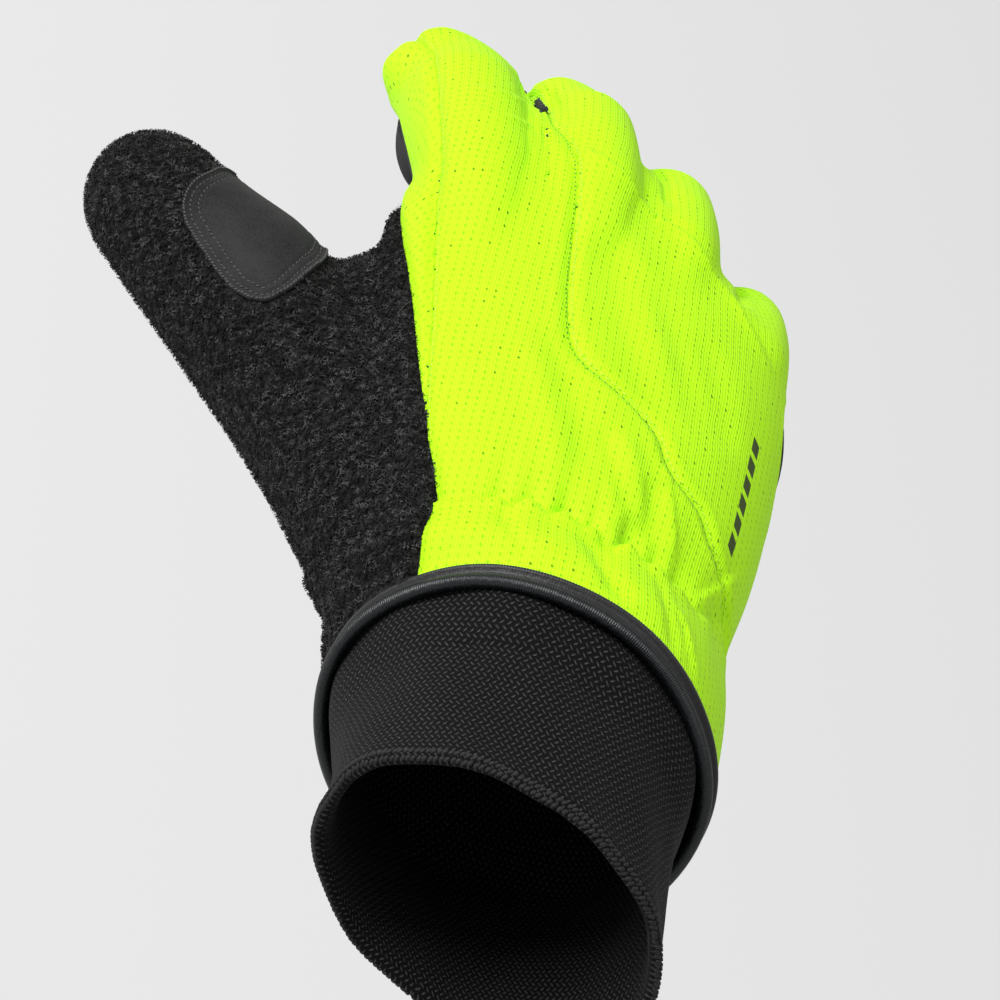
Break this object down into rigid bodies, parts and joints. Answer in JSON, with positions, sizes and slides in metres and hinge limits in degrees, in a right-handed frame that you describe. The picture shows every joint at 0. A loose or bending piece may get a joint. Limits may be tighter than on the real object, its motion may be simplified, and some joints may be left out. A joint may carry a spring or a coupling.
{
  "type": "windproof winter glove",
  "caption": "Padded windproof cycling glove for the right hand in bright neon and black, with fleece thumb, curved fingers, gathered wrist and long knit inner cuff.",
  "frame": {"origin": "middle of the mouth of the knit cuff, where the hand goes in", "axes": "+Y along the hand towards the fingers, +Z out of the back of the hand, -X on the thumb's side"},
  "size_m": [0.1525, 0.2642, 0.0912],
  "materials": {
    "neon_knit": "eyelet knit, matt, neon yellow green",
    "black_fleece": "pilled fleece",
    "palm_suede": "brushed synthetic suede",
    "patch_suede": "fine synthetic suede with double stitching",
    "edge_tape": "woven binding tape",
    "piping_cord": "ribbed elastic, slightly glossy",
    "rib_knit": "purl knit"
  },
  "bodies": {
    "root": {"back_inner": "neon_knit", "back_outer": "neon_knit", "index_side": "neon_knit", "thumb_fleece": "black_fleece", "palm": "palm_suede", "thumb_patch": "patch_suede", "cuff_binding": "edge_tape", "cuff_piping": "piping_cord", "knit_cuff": "rib_knit"}
  },
  "joints": []
}
